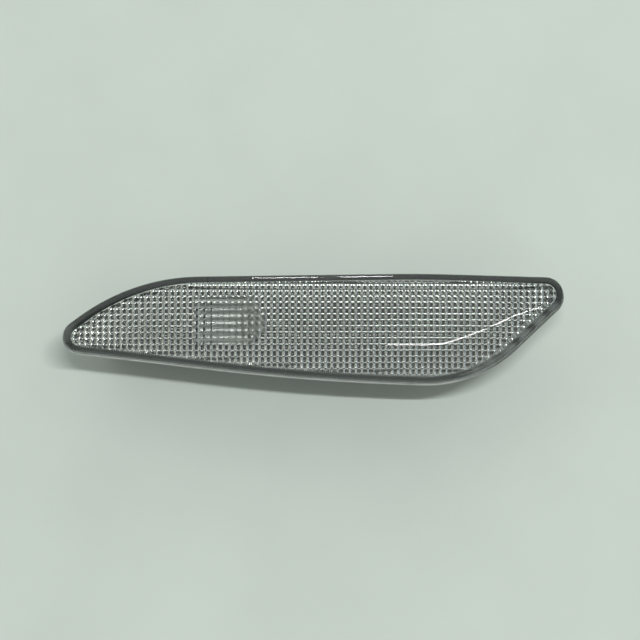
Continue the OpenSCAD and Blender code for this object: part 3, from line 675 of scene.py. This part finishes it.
def finish(name, color, roughness, metal=0.0, spread=0.12, gloss=0.2, grain=0.00001, scale=2500.0,
           streak=1.0, pores=0.0, dust=0.0):
    """A moulded, rolled or foamed surface made of the shared effects."""
    material, tree, shader = new_material(name, Metallic=metal)
    shade = effect(tree, "cloudy_color", Color=color + (1,), Spread=spread, Streak=streak)[0]
    rough = effect(tree, "uneven_gloss", Roughness=roughness, Spread=gloss, Streak=streak)[0]
    if dust:
        shade, rough = effect(tree, "settled_dust", Color=shade, Roughness=rough, Amount=dust)
    tree.links.new(shade, shader.inputs["Base Color"])
    tree.links.new(rough, shader.inputs["Roughness"])
    normal = effect(tree, "fine_grain", Scale=scale, Depth=grain, Streak=streak, Pores=pores)[0]
    tree.links.new(normal, shader.inputs["Normal"])
    return material


def metallised_above(material, height):
    """Lays a polished metal skin over the part of a material above a height."""
    tree = material.node_tree
    shader = next(n for n in tree.nodes if n.type == "BSDF_PRINCIPLED")
    place = add(tree, "ShaderNodeTexCoord").outputs["Object"]
    z = add(tree, "ShaderNodeSeparateXYZ", {0: place}).outputs["Z"]
    share = clamp_share(tree, z, height, height + POLISH_EDGE * MM)
    metal = effect(tree, "cloudy_color", Color=POLISHED, Spread=0.02)[0]
    gloss = effect(tree, "uneven_gloss", Roughness=0.04, Spread=0.4)[0]
    shade = shader.inputs["Base Color"].links[0].from_socket
    rough = shader.inputs["Roughness"].links[0].from_socket
    tree.links.new(mixed(tree, share, shade, metal), shader.inputs["Base Color"])
    tree.links.new(clamp_share(tree, share, 0, 1, rough, gloss), shader.inputs["Roughness"])
    plain = shader.inputs["Metallic"].default_value
    tree.links.new(clamp_share(tree, share, 0, 1, plain, 1), shader.inputs["Metallic"])
    return material


def lit_flange(material):
    """Light that the lens throws on the flange: soft on the south, in fine lines on the slanted side."""
    tree = material.node_tree
    shader = next(n for n in tree.nodes if n.type == "BSDF_PRINCIPLED")
    side = np.subtract(CORNERS[3], CORNERS[4]) / math.dist(CORNERS[3], CORNERS[4])
    edge = float(side @ (-CORNERS[3][1], CORNERS[3][0]))
    place = add(tree, "ShaderNodeTexCoord").outputs["Object"]
    along, across = (dot(tree, place, axis) for axis in ((side[0], side[1], 0), (side[1], -side[0], 0)))
    axes = add(tree, "ShaderNodeSeparateXYZ", {0: place}).outputs
    lines = maths(tree, "SINE", maths(tree, "MULTIPLY", along, 2 * math.pi / (LINE_PITCH * MM)))
    slanted = clamp_share(tree, across, (edge - SIDE_LIT) * MM, (edge - SIDE_LIT + 1) * MM)
    slanted = maths(tree, "MULTIPLY", slanted, clamp_share(tree, lines, -1, 1, *LINE_LIT))
    fade = clamp_share(tree, axes["Y"], SIDE_FADE_Y[0] * MM, SIDE_FADE_Y[1] * MM, 1, 0)
    slanted = maths(tree, "MULTIPLY", slanted, fade)
    south = clamp_share(tree, axes["Y"], SOUTH_Y[0] * MM, SOUTH_Y[1] * MM, 0, SOUTH_LIT)
    tip = clamp_share(tree, axes["X"], TIP_X[0] * MM, TIP_X[1] * MM, 0, TIP_LIT)
    on_flange = clamp_share(tree, axes["Z"], (LENS_FOOT_Z - 0.1) * MM, (LENS_FOOT_Z - 0.05) * MM)
    brightest = maths(tree, "MAXIMUM", maths(tree, "MAXIMUM", slanted, south), tip)
    share = maths(tree, "MULTIPLY", brightest, on_flange)
    shade = shader.inputs["Base Color"].links[0].from_socket
    tree.links.new(mixed(tree, share, shade, LIT_COLOR), shader.inputs["Base Color"])
    return material


def paper():
    """Pale studio floor."""
    material, tree, shader = new_material("pale_paper", Roughness=0.8)
    shade = effect(tree, "cloudy_color", Color=PAPER, Spread=0.03, Scale=30.0)[0]
    tree.links.new(shade, shader.inputs["Base Color"])
    return material


FINISHES = {
    "housing": metallised_above(lit_flange(
        finish("dark_housing_plastic", (0.045, 0.053, 0.05), 0.34, grain=0.000012, dust=0.05)),
        (LENS_FOOT_Z + POLISH_EDGE) * MM),
    "reflector": metallised_above(
        finish("white_reflector_plastic", (0.97, 0.98, 0.97), 0.7, spread=0.02, gloss=0.4,
               grain=0.0000004, scale=900.0), DECK_Z * MM),
    "gasket": finish("foam_rubber", (0.02, 0.02, 0.02), 0.9, spread=0.25, gloss=0.08, grain=0.00009,
                     scale=3200.0, pores=1.0),
    "bulb": finish("silvered_glass", (0.84, 0.85, 0.84), 0.05, metal=1.0, spread=0.05, gloss=0.5,
                   grain=0.000002, scale=400.0),
    "bulb_wire": finish("nickel_wire", (0.6, 0.58, 0.52), 0.3, metal=1.0, grain=0.000004, scale=4000.0,
                        streak=12.0),
    "holder_body": finish("black_plastic", (0.02, 0.02, 0.021), 0.45, grain=0.000015, scale=3000.0,
                          dust=0.06),
    "holder_seal": finish("silicone_rubber", (0.3, 0.07, 0.035), 0.6, grain=0.000006, scale=1800.0, dust=0.1),
    "terminal": finish("tinned_brass", (0.7, 0.64, 0.45), 0.25, metal=1.0, spread=0.08, gloss=0.35,
                       grain=0.000003, scale=3500.0, streak=15.0),
    "spring_clip": finish("plated_spring_steel", (0.55, 0.56, 0.57), 0.3, metal=1.0, spread=0.08, gloss=0.35,
                          grain=0.000003, scale=3500.0, streak=10.0),
}


def dress_frame():
    """Gives each CAD piece its finish."""
    for name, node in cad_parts.items():
        key = max((k for k in FINISHES if name.startswith(k)), key=len, default=None)
        if key:
            node.data.materials.clear()
            node.data.materials.append(FINISHES[key])


# The studio


def make_floor():
    """A wide sheet of paper under the lamp."""
    low = cad_box[0][2] / MM
    half = 1500
    corners = [(x * half, y * half, low) for x, y in ((-1, -1), (1, -1), (1, 1), (-1, 1))]
    floor = mesh_object("floor", corners, [[0, 1, 2, 3]])
    floor.data.materials.append(paper())


def make_camera():
    """Looks down on the lens as the photograph does, with the lamp at the same place in the frame."""
    length = cad_box[1][0] - cad_box[0][0]
    per_pixel = length / (LAMP_RIGHT_PX - LAMP_LEFT_PX)
    height = math.radians(CAMERA_HEIGHT_DEG)
    middle_x = (cad_box[0][0] + cad_box[1][0]) / 2
    middle_px = (LAMP_LEFT_PX + LAMP_RIGHT_PX) / 2
    target = Vector((middle_x + (PHOTO_SIDE / 2 - middle_px) * per_pixel,
                     (LAMP_MIDDLE_PX - PHOTO_SIDE / 2) * per_pixel / math.sin(height), LENS_FOOT_Z * MM))
    camera = bpy.data.cameras.new("camera")
    camera.sensor_width = SENSOR * 1000
    camera.lens = camera.sensor_width * CAMERA_DISTANCE / (PHOTO_SIDE * per_pixel)
    camera.clip_start = 0.01
    holder = bpy.data.objects.new("camera", camera)
    bpy.context.collection.objects.link(holder)
    holder.location = target + Vector((0, -math.cos(height), math.sin(height))) * CAMERA_DISTANCE
    holder.rotation_euler = (math.pi / 2 - height, 0, 0)
    bpy.context.scene.camera = holder


def area_light(name, place, size, watts, tilt, turn, shown_to):
    """A rectangular lamp that shines down, or south once tilted, and is then turned."""
    light = bpy.data.lights.new(name, "AREA")
    light.shape = "RECTANGLE"
    light.size, light.size_y = size
    light.energy = watts
    holder = bpy.data.objects.new(name, light)
    bpy.context.collection.objects.link(holder)
    holder.location = place
    holder.rotation_euler = (math.radians(-tilt), 0, math.radians(turn))
    for kind in ("diffuse", "glossy", "transmission"):
        setattr(holder, "visible_" + kind, kind == shown_to)


def tilted(degrees):
    """A direction so far north of straight up."""
    return 0, math.sin(math.radians(degrees)), math.cos(math.radians(degrees))


def make_world():
    """A soft tent of light, dim overhead, with the tube's soft image for the lens to break up."""
    world = bpy.data.worlds.new("studio")
    bpy.context.scene.world = world
    world.use_nodes = True
    tree = world.node_tree
    background = tree.nodes["Background"]
    direction = add(tree, "ShaderNodeTexCoord").outputs["Generated"]
    off_axis = dot(tree, direction, tilted(TOP_TILT))
    through = add(tree, "ShaderNodeLightPath").outputs["Is Transmission Ray"]
    sides = clamp_share(tree, through, 0, 1, TENT_SEEN, TENT_THROUGH)
    axes = add(tree, "ShaderNodeSeparateXYZ", {0: direction}).outputs
    window = maths(tree, "MULTIPLY", maths(tree, "SUBTRACT", 1.0, through), WINDOW)
    northern = maths(tree, "MULTIPLY", axes["Y"], window)
    sides = maths(tree, "MULTIPLY", sides, maths(tree, "ADD", northern, 1.0))
    near, far = (math.cos(math.radians(angle)) for angle in TOP_FADE)
    level = clamp_share(tree, off_axis, near, far, TENT_TOP, sides)
    north = maths(tree, "ABSOLUTE", maths(tree, "SUBTRACT", axes["Y"], tilted(TUBE_TILT)[1]))
    east = maths(tree, "ABSOLUTE", axes["X"])
    band = maths(tree, "MULTIPLY", clamp_share(tree, north, TUBE_HALF, 2 * TUBE_HALF, 1, 0),
                 clamp_share(tree, east, *TUBE_END, 1, 0))
    band = maths(tree, "MULTIPLY", band, clamp_share(tree, axes["Z"], 0, HORIZON_FADE))
    glow = maths(tree, "MULTIPLY", maths(tree, "MULTIPLY", band, through), TUBE_GLOW)
    tree.links.new(maths(tree, "ADD", level, glow), background.inputs["Strength"])
    side = clamp_share(tree, maths(tree, "MULTIPLY", axes["X"], through), -TINT_REACH, TINT_REACH)
    tree.links.new(mixed(tree, side, WARM, COOL), background.inputs["Color"])


make_lens(clear_plastic(), weld_seam())
dress_frame()
make_floor()
make_camera()
make_world()
for name, values in LAMPS.items():
    area_light(name, *values)

bpy.context.scene.view_settings.view_transform = "Standard"
